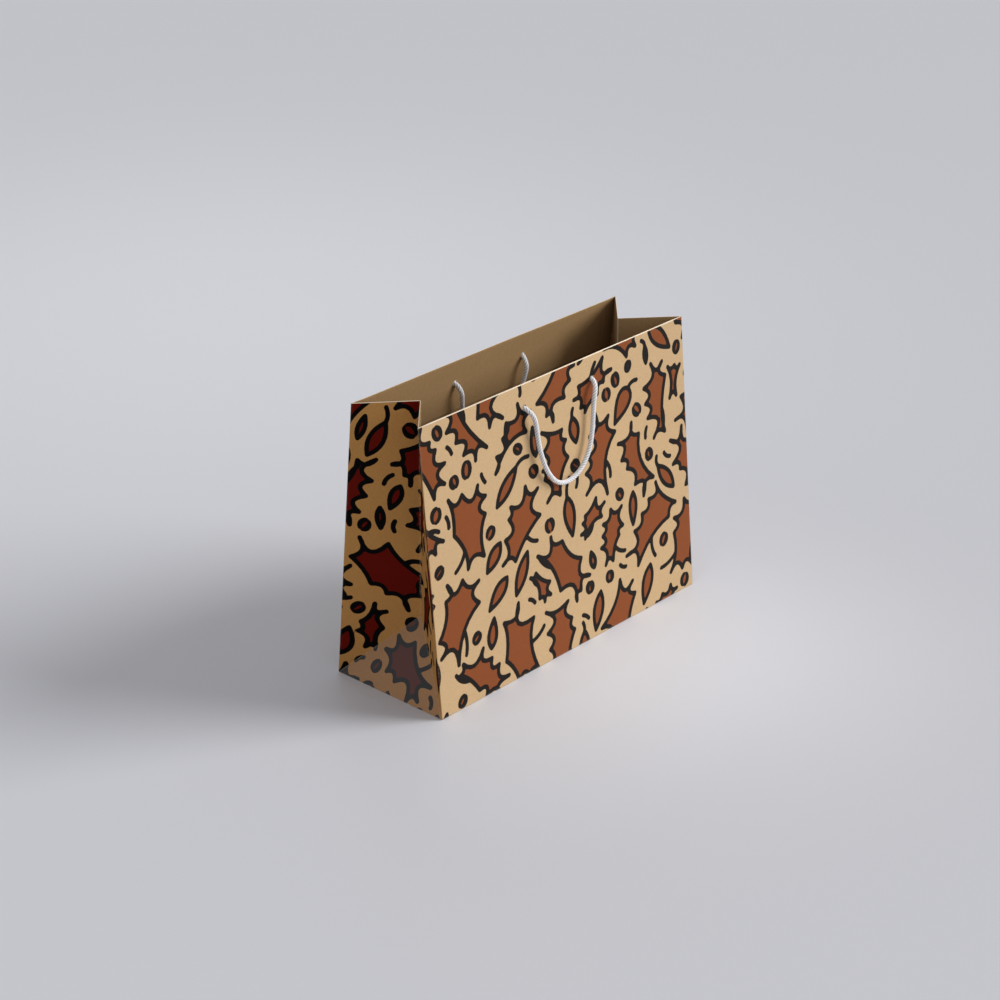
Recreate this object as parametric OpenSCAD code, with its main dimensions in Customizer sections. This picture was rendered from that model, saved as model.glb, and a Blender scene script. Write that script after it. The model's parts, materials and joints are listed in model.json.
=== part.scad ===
// Landscape paper gift bag with two rope handles, standing open on its base.
// The origin is the middle of the base, +Z is up, the front faces -Y and +X is to the right of a
// person who looks at the front. Every face between two creases of the folded sheet is its own node.

/* [Bag] */
// Width of the bag
bag_w = 320; // [300:1:340]
// Depth of the base, front to back
bag_d = 117; // [112:1:120]
// Height of the mouth above the base
bag_h = 245; // [230:1:260]
// Depth of the open mouth, front to back
mouth_d = 72; // [68:1:76]
// How far each gusset's middle crease is folded in at the mouth
crease_in = 40; // [37:1:43]
// How far the tip of each base fold reaches in
fold_in = 38; // [36:1:40]
// Height of the tip of each base fold
fold_h = 58; // [54:1:62]

/* [Sheet] */
// Thickness of the laminated paper
paper_t = 0.35; // [0.3:0.05:0.4]
// Thickness of the card inside the turned-over mouth
card_t = 0.6; // [0.4:0.1:0.8]
// Depth of the turn-over round the mouth
hem_h = 45; // [38:1:50]
// Thickness of the loose board on the base
board_t = 1.0; // [0.8:0.1:1.5]

/* [Handles] */
// Diameter of the rope
rope_d = 4; // [3.5:0.1:4.2]
// Radius of the punched rope holes
hole_r = 2.6; // [2.4:0.1:3]
// Distance of each hole from the middle of the bag
hole_x = 41.2; // [40:0.1:42]
// Distance of the holes below the mouth, along the wall
hole_drop = 19.8; // [18:0.1:22]
// Radius of the knots
knot_r = 4.3; // [4:0.1:4.6]

/* [Hidden] */

// Free room between sheets that move against each other
gap = 0.3;
// Width of the slanted cut that lets two sheets fold flat at a corner crease
mitre = 6;
// The walls lean in from the base to the mouth
lean = atan((bag_d - mouth_d) / 2 / bag_h);
slant = bag_h / cos(lean);
hole_z = slant - hole_drop;
// Depth of the wall at the turn-over: paper, card, paper
mouth_t = 2 * paper_t + card_t;
// How far the panels' turn-over and card, and the gussets' turn-over, stay off the corner creases
hem_off_corner = 15;
gusset_hem_off_corner = 9;
// Glue line between a gusset half and its turn-over
glue_t = 0.15;

// The base: lower ends of its sheets under the base folds, and the lap of the two long flaps
base_end = bag_w / 2 - 1.7;
base_side = bag_d / 2 - 0.7;
flap_lap = 15;
dust_flap = 55;
board_w = bag_w - 6;
board_d = bag_d - 4;

// Glue lap of the sheet, inside the back wall at its left corner
seam_w = 16;
seam_off_corner = 8;
seam_low = 10;
seam_high = slant - hem_h - 5;

// Corners of the left gusset's front half: base corner, mouth corner, mouth end of the middle
// crease, tip of the base fold
corner_low = [-bag_w / 2, -bag_d / 2, 0];
corner_high = [-bag_w / 2, -mouth_d / 2, bag_h];
crease_high = [-bag_w / 2 + crease_in, 0, bag_h];
crease_low = [-bag_w / 2 + fold_in, 0, fold_h];

// Distance of the handles' swing axes from the walls' outer faces
front_axis_out = 5;
back_axis_in = 6;

// Half of the front rope's route from its swing axis to the bottom of the loop:
// distance from the middle, distance out of the wall, distance below the hole
front_route = [
    [39.5, 5.0, 1], [37.6, 6.2, 5], [36.0, 6.3, 11], [34.9, 6.1, 18], [34.0, 6.0, 27],
    [32.9, 6.0, 34], [31.4, 6.1, 41], [28.4, 6.2, 51], [23.5, 6.0, 60.5], [16.8, 5.4, 68.5],
    [9.0, 4.6, 73.5], [0, 4.2, 75.3]
];
// The same for the back rope, which hangs plumb inside the bag:
// distance from the middle, distance in from the swing axis, distance below it
back_route = [
    [39.5, 0, 1], [37.6, 0.6, 5], [36.0, 0.8, 11], [34.9, 0.6, 18], [34.0, 0.4, 27],
    [32.9, 0.2, 34], [31.4, 0, 41], [28.4, -0.2, 51], [23.5, -0.4, 60.5], [16.8, -0.5, 68.5],
    [9.0, -0.5, 73.5], [0, -0.5, 75.3]
];
rope_sides = 10;

PRINT = "peru";
KRAFT = "burlywood";
CARD = "lightgray";
ROPE = "white";

// ---- helpers ---------------------------------------------------------------------------------

function unit(v) = v / norm(v);
function mix(a, b, k) = a + (b - a) * k;

// Point of the left gusset's front half: s runs from the corner crease to the middle crease,
// t from the base fold to the mouth
function half_point(s, t) =
    mix(mix(corner_low, crease_low, s), mix(corner_high, crease_high, s), t);
function half_normal(s, t) =
    let (across = mix(crease_low - corner_low, crease_high - corner_high, t))
    let (along = mix(corner_high - corner_low, crease_high - crease_low, s))
    unit(cross(across, along));
// Lengths of the half across at t and along at s
function across_length(t) = norm(mix(crease_low - corner_low, crease_high - corner_high, t));
function along_length(s) = norm(mix(corner_high - corner_low, crease_high - crease_low, s));

// One skin of a sheet on the half, with the margins from_corner, from_crease and up in
// millimetres, starting at height share t_low and lying depth inside the outer face
function half_skin(from_corner, from_crease, up, t_low, depth, columns, rows) = [
    for (j = [0:rows])
        let (t_row = mix(t_low, 1, j / rows))
        [
            for (i = [0:columns])
                let (s0 = from_corner / across_length(t_row))
                let (s1 = 1 - from_crease / across_length(t_row))
                let (s = mix(s0, s1, i / columns))
                let (t = t_row + (1 - j / rows) * up / along_length(s))
                half_point(s, t) + depth * half_normal(s, t)
        ]
];

// Closed solid between two skins, each a list of rows of points
module slab(outer, inner) {
    rows = len(outer);
    columns = len(outer[0]);
    count = rows * columns;
    points = [for (skin = [outer, inner], row = skin, p = row) p];
    // The two skins, split the same way
    outer_faces = [
        for (j = [0:rows - 2], i = [0:columns - 2])
            let (a = j * columns + i, b = a + 1, c = b + columns, d = a + columns)
            each [[a, c, b], [a, d, c]]
    ];
    inner_faces = [for (f = outer_faces) [f[2] + count, f[1] + count, f[0] + count]];
    // The edge all round, walked once
    edge = concat(
        [for (i = [0:columns - 1]) i],
        [for (j = [1:rows - 1]) j * columns + columns - 1],
        [for (i = [columns - 2:-1:0]) (rows - 1) * columns + i],
        [for (j = [rows - 2:-1:1]) j * columns]
    );
    rim_faces = [
        for (k = [0:len(edge) - 1])
            let (a = edge[k], b = edge[(k + 1) % len(edge)])
            each [[a, b, b + count], [a, b + count, a + count]]
    ];
    polyhedron(points, concat(outer_faces, inner_faces, rim_faces));
}

// Tube swept along a list of points
module tube(route, diameter, sides) {
    last = len(route) - 1;
    function way(i) = unit(route[min(i + 1, last)] - route[max(i - 1, 0)]);
    function ring(i) =
        let (side = unit(cross(way(i), [0, 1, 0])))
        let (up = cross(side, way(i)))
        [for (k = [0:sides - 1])
            route[i] + diameter / 2 * (cos(360 * k / sides) * side + sin(360 * k / sides) * up)];
    points = [for (i = [0:last]) each ring(i)];
    start_cap = [[for (k = [0:sides - 1]) k]];
    end_cap = [[for (k = [sides - 1:-1:0]) last * sides + k]];
    walls = [
        for (i = [0:last - 1], k = [0:sides - 1])
            let (a = i * sides + k, b = i * sides + (k + 1) % sides)
            each [[a, a + sides, b + sides], [a, b + sides, b]]
    ];
    polyhedron(points, concat(start_cap, end_cap, walls));
}

// Whole route from the right leg to the left one, from half a route
function both_legs(half) = concat(
    half,
    [for (i = [len(half) - 2:-1:0]) [-half[i][0], half[i][1], half[i][2]]]
);

// Frame of a wall: X along the wall, Z up it, Y from its outer face into the bag
module front_wall_frame() {
    translate([0, -bag_d / 2, 0]) rotate([-lean, 0, 0]) children();
}
module back_wall_frame() {
    mirror([0, 1, 0]) front_wall_frame() children();
}

// Plate on a wall between depths y0 and y1, with the rope holes punched through
module wall_plate(half_w, y0, y1, z0, z1) {
    difference() {
        translate([-half_w, y0, z0]) cube([2 * half_w, y1 - y0, z1 - z0]);
        rope_holes();
    }
}

module rope_holes() {
    for (side = [-1, 1])
        translate([side * hole_x, -1, hole_z])
            rotate([-90, 0, 0])
                cylinder(r = hole_r, h = mouth_t + 2, $fn = 48);
}

// Wall panel: its side edges are cut on a slant so that the gussets can fold against it
module panel() {
    difference() {
        translate([0, 0, gap])
            linear_extrude(slant - gap)
                polygon([
                    [-bag_w / 2, 0], [bag_w / 2, 0],
                    [bag_w / 2 - mitre, paper_t], [-bag_w / 2 + mitre, paper_t]
                ]);
        rope_holes();
    }
}

// Turn-over of the mouth along a wall, and the card inside it
module wall_hem() {
    wall_plate(bag_w / 2 - hem_off_corner, paper_t + card_t, mouth_t, slant - hem_h, slant - 0.2);
}
module wall_card() {
    wall_plate(
        bag_w / 2 - hem_off_corner, paper_t, paper_t + card_t, slant - hem_h + 2, slant - 0.4
    );
}

// Half of the left gusset at the front, its turn-over and the gusset's base fold
module gusset_half() {
    slab(
        half_skin(0.6, gap, 2 * gap, 0, 0, 8, 14),
        half_skin(mitre, gap, 2 * gap, 0, paper_t, 8, 14)
    );
}
module gusset_half_hem() {
    low = 1 - hem_h / slant;
    depth = paper_t + glue_t;
    slab(
        half_skin(gusset_hem_off_corner, 2 * gap, 0, low, depth, 4, 3),
        half_skin(gusset_hem_off_corner, 2 * gap, 0, low, depth + paper_t, 4, 3)
    );
}
module base_fold() {
    rise = norm([fold_in, fold_h]);
    slope = atan2(fold_h, fold_in);
    side_cut = 1.2;
    foot = 0.6;
    translate([-bag_w / 2, 0, 0])
        rotate([0, -slope, 0])
            translate([0, 0, -paper_t])
                linear_extrude(paper_t)
                    polygon([
                        [foot, -bag_d / 2 + side_cut], [foot, bag_d / 2 - side_cut],
                        [rise - side_cut, 0]
                    ]);
}

// A rope's end: the knot, its short tail and the stub through the wall. The knot sits on the
// wall's inner face (side 1) or on its outer face (side -1)
module rope_end(side, stub_end) {
    face = side > 0 ? mouth_t : 0;
    knot_y = face + side * (gap + knot_r);
    low = min(knot_y, stub_end);
    high = max(knot_y, stub_end);
    translate([0, low, hole_z])
        rotate([-90, 0, 0])
            cylinder(d = rope_d, h = high - low, $fn = 32);
    translate([0, knot_y, hole_z])
        sphere(r = knot_r, $fn = 48);
    translate([0, knot_y + side * 1.5, hole_z - knot_r - 8])
        cylinder(d = rope_d, h = knot_r + 8, $fn = 32);
}

// ---- walls -----------------------------------------------------------------------------------

module front_panel() {
    color(PRINT) front_wall_frame() panel();
}
module back_panel() {
    color(PRINT) back_wall_frame() panel();
}
module front_top_hem() {
    color(KRAFT) front_wall_frame() wall_hem();
}
module back_top_hem() {
    color(KRAFT) back_wall_frame() wall_hem();
}
module front_top_card() {
    color(CARD) front_wall_frame() wall_card();
}
module back_top_card() {
    color(CARD) back_wall_frame() wall_card();
}
module side_seam_flap() {
    color(KRAFT)
        back_wall_frame()
            translate([-bag_w / 2 + seam_off_corner, paper_t, seam_low])
                cube([seam_w, paper_t, seam_high - seam_low]);
}

// ---- gussets ---------------------------------------------------------------------------------

module left_gusset_front_half() {
    color(PRINT) gusset_half();
}
module left_gusset_back_half() {
    color(PRINT) mirror([0, 1, 0]) gusset_half();
}
module left_base_fold() {
    color(PRINT) base_fold();
}
module right_gusset_front_half() {
    color(PRINT) mirror([1, 0, 0]) gusset_half();
}
module right_gusset_back_half() {
    color(PRINT) mirror([1, 0, 0]) mirror([0, 1, 0]) gusset_half();
}
module right_base_fold() {
    color(PRINT) mirror([1, 0, 0]) base_fold();
}
module left_hem_front_half() {
    color(KRAFT) gusset_half_hem();
}
module left_hem_back_half() {
    color(KRAFT) mirror([0, 1, 0]) gusset_half_hem();
}
module right_hem_front_half() {
    color(KRAFT) mirror([1, 0, 0]) gusset_half_hem();
}
module right_hem_back_half() {
    color(KRAFT) mirror([1, 0, 0]) mirror([0, 1, 0]) gusset_half_hem();
}

// ---- base ------------------------------------------------------------------------------------

// The back flap lies on the ground from the back crease to past the middle. The front flap lies
// on the ground in front of it and laps over it.
module bottom_flap_back() {
    color(PRINT)
        translate([-base_end, -flap_lap, 0])
            cube([2 * base_end, base_side + flap_lap, paper_t]);
}
module bottom_flap_front() {
    color(PRINT)
        union() {
            translate([-base_end, -base_side, 0])
                cube([2 * base_end, base_side - flap_lap - gap, paper_t]);
            translate([-base_end, -flap_lap - 5, paper_t])
                cube([2 * base_end, 2 * flap_lap + 5, paper_t]);
        }
}
// Dust flaps, folded in first from the two ends
module dust_flap_sheet() {
    translate([0, 0, 2 * paper_t])
        linear_extrude(paper_t)
            polygon([
                [-base_end, -base_side], [-base_end + dust_flap, -base_side + 12],
                [-base_end + dust_flap, base_side - 12], [-base_end, base_side]
            ]);
}
module bottom_flap_left() {
    color(PRINT) dust_flap_sheet();
}
module bottom_flap_right() {
    color(PRINT) mirror([1, 0, 0]) dust_flap_sheet();
}
module base_board() {
    color(CARD)
        translate([-board_w / 2, -board_d / 2, 3 * paper_t])
            cube([board_w, board_d, board_t]);
}

// ---- handles ---------------------------------------------------------------------------------

module front_handle_rope() {
    route = [for (p = both_legs(front_route)) [p[0], -p[1], hole_z - p[2]]];
    color(ROPE) front_wall_frame() tube(route, rope_d, rope_sides);
}
module back_handle_rope() {
    axis_y = bag_d / 2 - hole_z * sin(lean) - back_axis_in * cos(lean);
    axis_z = hole_z * cos(lean) - back_axis_in * sin(lean);
    route = [for (p = both_legs(back_route)) [p[0], axis_y - p[1], axis_z - p[2]]];
    color(ROPE) tube(route, rope_d, rope_sides);
}
// The stubs end just short of the loops, which begin on the swing axes
module front_knot(side) {
    front_wall_frame()
        translate([side * hole_x, 0, 0])
            rope_end(1, -front_axis_out + 2.4);
}
module back_knot(side) {
    back_wall_frame()
        translate([side * hole_x, 0, 0])
            rope_end(-1, back_axis_in - 2.4);
}
module front_left_knot() {
    color(ROPE) front_knot(-1);
}
module front_right_knot() {
    color(ROPE) front_knot(1);
}
module back_left_knot() {
    color(ROPE) back_knot(-1);
}
module back_right_knot() {
    color(ROPE) back_knot(1);
}

front_panel();
back_panel();
left_gusset_front_half();
left_gusset_back_half();
left_base_fold();
right_gusset_front_half();
right_gusset_back_half();
right_base_fold();
bottom_flap_front();
bottom_flap_back();
bottom_flap_left();
bottom_flap_right();
base_board();
side_seam_flap();
front_top_hem();
back_top_hem();
front_top_card();
back_top_card();
left_hem_front_half();
left_hem_back_half();
right_hem_front_half();
right_hem_back_half();
front_handle_rope();
back_handle_rope();
front_left_knot();
front_right_knot();
back_left_knot();
back_right_knot();
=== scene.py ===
"""Looks of a landscape paper gift bag: a printed, laminated sheet folded into walls and gussets and
turned over at the mouth, where card strips stiffen its walls, with a loose base board and two
knotted rope handles.

Lengths in the tables and functions are in millimetres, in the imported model's frame: the origin is
the middle of the base, +Z is up and the front faces -Y. MM turns them into Blender's metres.
"""

import json
import math
import random

import bpy
import numpy as np
from mathutils import Matrix, Vector


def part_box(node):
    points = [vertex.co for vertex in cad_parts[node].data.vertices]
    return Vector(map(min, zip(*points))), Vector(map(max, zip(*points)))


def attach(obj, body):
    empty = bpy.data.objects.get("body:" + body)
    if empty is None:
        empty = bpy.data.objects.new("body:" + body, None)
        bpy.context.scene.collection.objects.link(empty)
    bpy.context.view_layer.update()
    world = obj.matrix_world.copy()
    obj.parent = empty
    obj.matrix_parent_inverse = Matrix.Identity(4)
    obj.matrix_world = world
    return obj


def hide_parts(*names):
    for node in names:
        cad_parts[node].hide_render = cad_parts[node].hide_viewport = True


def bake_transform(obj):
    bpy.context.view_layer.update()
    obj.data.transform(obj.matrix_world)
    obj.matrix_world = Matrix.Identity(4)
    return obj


MM = 0.001

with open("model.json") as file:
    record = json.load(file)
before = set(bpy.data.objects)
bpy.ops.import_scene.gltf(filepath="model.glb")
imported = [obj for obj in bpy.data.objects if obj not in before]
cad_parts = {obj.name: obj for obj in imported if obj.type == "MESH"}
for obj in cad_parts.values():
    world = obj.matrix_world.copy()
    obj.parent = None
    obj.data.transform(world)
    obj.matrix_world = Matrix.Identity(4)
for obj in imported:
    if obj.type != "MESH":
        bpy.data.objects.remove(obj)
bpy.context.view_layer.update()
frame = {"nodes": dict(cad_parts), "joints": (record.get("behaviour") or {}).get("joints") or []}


# ---- dimensions -------------------------------------------------------------------------------

joints = {joint["name"]: joint for joint in frame["joints"]}
corner_joint = joints["left_front_gusset_fold"]
crease_axis = corner_joint["axis"]

BAG_W = -2 * corner_joint["pos_m"][0] / MM
BAG_D = -2 * corner_joint["pos_m"][1] / MM
BAG_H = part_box("front_panel")[1].z / MM
LEAN = math.atan(crease_axis[1] / crease_axis[2])
MOUTH_D = BAG_D - 2 * BAG_H * math.tan(LEAN)
SLANT = BAG_H / math.cos(LEAN)

# How far into the bag a gusset's middle crease lies at the mouth, and how far in and how high it
# meets the tip of the base fold
CREASE_IN = 40.0
FOLD_IN = 38.0
FOLD_H = 58.0

PAPER_T = 0.35
CARD_T = 0.6
HEM_H = 45.0
# Thickness of the turned-over mouth where it holds card, and where it doesn't
MOUTH_T = 2 * PAPER_T + CARD_T
THIN_MOUTH_T = 2 * PAPER_T + 0.05
CARD_OFF_CORNER = 15.0
# How far the turn-over stays off the corners, and where along a wall it starts to be drawn in
HEM_INSET = 9.0
HEM_DRAWN_FROM = 100.0
# The paper thins over this length towards a corner crease, to this share of its thickness
CORNER_TAPER = 6.0
CORNER_THIN = 0.08
# Gap between sheets that touch
CLEAR = 0.02

ROPE_D = 4.0
HOLE_R = 2.6
HOLE_X = 41.2
HOLE_Z = SLANT - 19.8
# Swing axes of the handles: in front of the front wall's face, and inside the back wall's
FRONT_AXIS_OUT = 5.0
BACK_AXIS_IN = 6.0

# Size of the cells that carry the print
GRID = 1.5
# Outer radius of a corner crease and how far each side of it turns, and the radius at a wall's foot
CREASE_R = 0.4
CREASE_TURN = math.radians(62)
FOOT_R = 0.6
# Steps of the turn round a wall's foot, and of the half turn over the mouth
FOOT_STEPS = np.radians([80, 53, 26])
ROLL_STEPS = np.radians([22, 45, 68, 90, 112, 135, 158])
# How far the wear of a crease reaches into the print
CREASE_WEAR = 0.5
# Rows of cells over the fold of the mouth painted in the pale edge colour: the paper's core, brightened into
# a painted highlight along the rolled edge
HIGHLIGHT_ROWS = 5

# The gusset unfolded: its half width and the height of the base fold's tip
FLAT_HALF = BAG_D / 2
FLAT_TIP = math.hypot(FOLD_IN, FOLD_H)


# ---- camera -----------------------------------------------------------------------------------

# Distance and aim are in metres
CAMERA_AZIMUTH = math.radians(-47.87)
CAMERA_ELEVATION = math.radians(25.22)
CAMERA_ROLL = math.radians(0.10)
CAMERA_DISTANCE = 2.0542
CAMERA_AIM = Vector((-0.0136, 0.0126, 0.1190))
CAMERA_LENS = 89.4


def add_camera():
    data = bpy.data.cameras.new("camera")
    data.lens = CAMERA_LENS
    data.sensor_width = 36.0
    data.clip_end = 50.0
    camera = bpy.data.objects.new("camera", data)
    bpy.context.scene.collection.objects.link(camera)
    back = Vector((
        math.sin(CAMERA_AZIMUTH) * math.cos(CAMERA_ELEVATION),
        -math.cos(CAMERA_AZIMUTH) * math.cos(CAMERA_ELEVATION),
        math.sin(CAMERA_ELEVATION),
    ))
    turn = back.to_track_quat("Z", "Y") @ Matrix.Rotation(CAMERA_ROLL, 3, "Z").to_quaternion()
    camera.matrix_world = Matrix.LocRotScale(CAMERA_AIM + CAMERA_DISTANCE * back, turn, None)
    bpy.context.scene.camera = camera


# ---- materials --------------------------------------------------------------------------------


def srgb(red, green, blue):
    """Linear colour of a screen colour given from 0 to 255."""
    linear = []
    for part in (red, green, blue):
        share = part / 255
        linear.append(share / 12.92 if part <= 10 else ((share + 0.055) / 1.055) ** 2.4)
    return (*linear, 1.0)


class Nodes:
    """Short ways to add and join the nodes of one material."""

    def __init__(self, name):
        self.material = bpy.data.materials.new(name)
        self.material.use_nodes = True
        self.tree = self.material.node_tree
        self.shader = self.tree.nodes["Principled BSDF"]

    def add(self, kind, **settings):
        node = self.tree.nodes.new(kind)
        for key, value in settings.items():
            setattr(node, key, value)
        return node

    def put(self, socket, value):
        if isinstance(value, bpy.types.NodeSocket):
            self.tree.links.new(value, socket)
        else:
            socket.default_value = value

    def attribute(self, name):
        return self.add("ShaderNodeAttribute", attribute_name=name).outputs["Fac"]

    def place(self, stretch=(1, 1, 1)):
        mapping = self.add("ShaderNodeMapping")
        mapping.inputs["Scale"].default_value = stretch
        self.put(mapping.inputs["Vector"], self.add("ShaderNodeTexCoord").outputs["Object"])
        return mapping.outputs["Vector"]

    def noise(self, scale, detail=2.0, stretch=(1, 1, 1), roughness=0.5):
        node = self.add("ShaderNodeTexNoise")
        self.put(node.inputs["Vector"], self.place(stretch))
        self.put(node.inputs["Scale"], scale)
        self.put(node.inputs["Detail"], detail)
        self.put(node.inputs["Roughness"], roughness)
        return node.outputs["Fac"]

    def spread(self, value, low, high, to_low=0.0, to_high=1.0):
        node = self.add("ShaderNodeMapRange")
        for socket, number in zip(node.inputs, (value, low, high, to_low, to_high)):
            self.put(socket, number)
        return node.outputs[0]

    def math(self, operation, a, b=0.0):
        node = self.add("ShaderNodeMath", operation=operation)
        self.put(node.inputs[0], a)
        self.put(node.inputs[1], b)
        return node.outputs[0]

    def mix(self, share, a, b, blend="MIX"):
        node = self.add("ShaderNodeMix", data_type="RGBA", blend_type=blend)
        self.put(node.inputs[0], share)
        self.put(node.inputs[6], a)
        self.put(node.inputs[7], b)
        return node.outputs[2]

    def bump(self, height, strength, distance):
        node = self.add("ShaderNodeBump")
        self.put(node.inputs["Height"], height)
        self.put(node.inputs["Strength"], strength)
        self.put(node.inputs["Distance"], distance)
        self.put(self.shader.inputs["Normal"], node.outputs["Normal"])

    def set(self, **values):
        for name, value in values.items():
            self.put(self.shader.inputs[name.replace("_", " ")], value)
        return self.material


# Colour of the paper where the print is worn through at a crease
PAPER_CORE = srgb(226, 204, 172)
# Half the width, in millimetres, over which an ink's edge fades
INK_FADE = 0.18


def printed_paper(name, ground, rust, ink, roughness, specular, coat):
    """Laminated paper with the print's two inks, edges of the inks a little soft."""
    look = Nodes(name)
    grain = look.noise(1100, 3.0, roughness=0.7)
    cloud = look.noise(14, 3.0)
    wobble = look.math("MULTIPLY", look.math("SUBTRACT", look.noise(900, 2.0), 0.5), 0.5)
    fill_here = look.spread(look.math("ADD", look.attribute("fill"), wobble), INK_FADE, -INK_FADE)
    ink_here = look.spread(look.math("ADD", look.attribute("ink"), wobble), INK_FADE, -INK_FADE)
    colour = look.mix(fill_here, ground, rust)
    colour = look.mix(ink_here, colour, ink)
    wear = look.spread(look.noise(700, 3.0), 0.4, 0.65, 0.05, 0.4)
    colour = look.mix(look.math("MULTIPLY", look.attribute("crease"), wear), colour, PAPER_CORE)
    patches = look.spread(cloud, 0.3, 0.7, -0.02, 0.02)
    shade = look.math("ADD", look.spread(grain, 0.3, 0.7, 0.86, 1.11), patches)
    tint = look.add("ShaderNodeCombineColor")
    for socket in tint.inputs[:3]:
        look.put(socket, shade)
    look.bump(look.math("ADD", grain, look.noise(120, 2.0)), 0.2, 0.00008)
    return look.set(
        Base_Color=look.mix(1.0, colour, tint.outputs[0], "MULTIPLY"),
        Roughness=look.spread(cloud, 0.3, 0.7, roughness - 0.03, roughness + 0.03),
        Specular_IOR_Level=specular, Coat_Weight=coat, Coat_Roughness=0.32,
    )


def kraft_paper(name, light, dark):
    """Uncoated brown paper: long fibres, dark and pale specks, a matte surface."""
    look = Nodes(name)
    fibre = look.noise(900, 4.0, (1.0, 1.0, 0.35), 0.7)
    cloud = look.noise(22, 3.0)
    speck = look.spread(look.noise(1300, 1.0), 0.68, 0.76)
    colour = look.mix(look.spread(fibre, 0.25, 0.75), dark, light)
    colour = look.mix(look.math("MULTIPLY", speck, 0.25), colour, [c * 0.5 for c in dark[:3]] + [1.0])
    colour = look.mix(look.spread(cloud, 0.35, 0.65, 0.0, 0.2), colour, dark)
    look.bump(look.math("ADD", fibre, look.noise(1800, 2.0)), 0.3, 0.00008)
    rough = look.spread(fibre, 0.3, 0.7, 0.82, 0.92)
    return look.set(Base_Color=colour, Roughness=rough, Specular_IOR_Level=0.25)


def grey_board():
    """Recycled card: grey fibres with darker specks."""
    look = Nodes("grey_board")
    fibre = look.noise(500, 4.0, (1, 0.4, 1), 0.7)
    speck = look.spread(look.noise(900, 1.0), 0.66, 0.72)
    colour = look.mix(look.spread(fibre, 0.3, 0.7), srgb(150, 145, 136), srgb(178, 174, 166))
    colour = look.mix(look.math("MULTIPLY", speck, 0.4), colour, srgb(110, 104, 96))
    look.bump(fibre, 0.35, 0.0001)
    rough = look.spread(fibre, 0.3, 0.7, 0.85, 0.95)
    return look.set(Base_Color=colour, Roughness=rough, Specular_IOR_Level=0.2)


def rope_fibre():
    """White rope: fuzzy, a little see-through, with painted shade darkening the grooves between its strands.
    """
    look = Nodes("rope_fibre")
    fuzz = look.noise(2400, 3.0, (1, 1, 0.5), 0.7)
    # Grooves between the strands painted grey as painted shade; the crests white
    colour = look.mix(look.attribute("strand_painted_shade"), srgb(132, 130, 130), srgb(244, 244, 245))
    colour = look.mix(look.spread(fuzz, 0.35, 0.65, 0.0, 0.18), colour, srgb(205, 203, 200))
    look.bump(fuzz, 0.5, 0.00012)
    return look.set(
        Base_Color=colour, Roughness=look.spread(fuzz, 0.3, 0.7, 0.7, 0.85),
        Specular_IOR_Level=0.3, Sheen_Weight=0.35, Sheen_Roughness=0.5,
        Subsurface_Weight=0.5, Subsurface_Radius=(0.0025, 0.0024, 0.0023), Subsurface_Scale=1.0,
    )


def floor_paint():
    """Plain pale studio floor."""
    return Nodes("studio_floor").set(
        Base_Color=srgb(231, 232, 237), Roughness=0.4, Specular_IOR_Level=0.4,
    )


# The print on the walls; darker, deeper copies of it as painted shade on each pair of gusset halves, the
# left pair deepest; and a darker copy, also painted shade, on the glossier base folds
WALL_PRINT = printed_paper(
    "wall_print", ground=srgb(206, 173, 130), rust=srgb(140, 75, 37), ink=srgb(18, 11, 6),
    roughness=0.5, specular=0.12, coat=0.0,
)
# Left gusset halves: the print's colours darkened and deepened, painted shade
LEFT_PRINT_PAINTED_SHADE = printed_paper(
    "left_gusset_print_painted_shade", ground=srgb(200, 147, 84), rust=srgb(106, 16, 4), ink=srgb(6, 4, 4),
    roughness=0.6, specular=0.05, coat=0.0,
)
# Right gusset halves: the print's colours a little darkened, a milder painted shade
RIGHT_PRINT_PAINTED_SHADE = printed_paper(
    "right_gusset_print_painted_shade", ground=srgb(200, 160, 112), rust=srgb(124, 52, 26), ink=srgb(22, 17, 15),
    roughness=0.6, specular=0.1, coat=0.0,
)
# Base folds: the print's colours darkened and deepened, painted shade
FOLD_PRINT_PAINTED_SHADE = printed_paper(
    "base_fold_print_painted_shade", ground=srgb(186, 134, 80), rust=srgb(96, 34, 20), ink=srgb(18, 18, 20),
    roughness=0.3, specular=0.6, coat=0.4,
)
KRAFT = kraft_paper("kraft_lining", srgb(174, 141, 99), srgb(154, 122, 81))
# Pale cream of the paper's core, brightened: the cut rims' own colour, and a painted highlight where it
# covers the mouth's fold
PAPER_EDGE_AND_HIGHLIGHT = kraft_paper("paper_edge_and_painted_highlight", srgb(250, 234, 210), srgb(238, 219, 190))
GREY_BOARD = grey_board()
ROPE = rope_fibre()


# ---- meshes -----------------------------------------------------------------------------------


def make_piece(name, points, faces, materials, face_slots=None, values=None, sharp=math.radians(50)):
    """Piece from points in millimetres. values are numbers kept at its points, and edges that turn
    more than sharp stay hard.
    """
    mesh = bpy.data.meshes.new(name)
    mesh.from_pydata((np.asarray(points, float) * MM).tolist(), [], [list(f) for f in faces])
    for key, numbers in (values or {}).items():
        mesh.attributes.new(key, "FLOAT", "POINT").data.foreach_set("value", np.asarray(numbers, np.float32))
    for material in materials:
        mesh.materials.append(material)
    if face_slots is not None:
        mesh.polygons.foreach_set("material_index", np.asarray(face_slots, np.int32))
    mesh.polygons.foreach_set("use_smooth", np.ones(len(mesh.polygons), bool))
    mesh.set_sharp_from_angle(angle=sharp)
    mesh.update()
    piece = bpy.data.objects.new(name, mesh)
    bpy.context.scene.collection.objects.link(piece)
    return piece


OUTSIDE, INSIDE, EDGE = range(3)


def column(values):
    """The values as a column, to fill whole rows with."""
    return np.asarray(values)[:, None]


def cell_middles(values):
    """Values at the middles of a grid's cells."""
    return (values[:-1, :-1] + values[1:, 1:]) / 2


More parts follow.
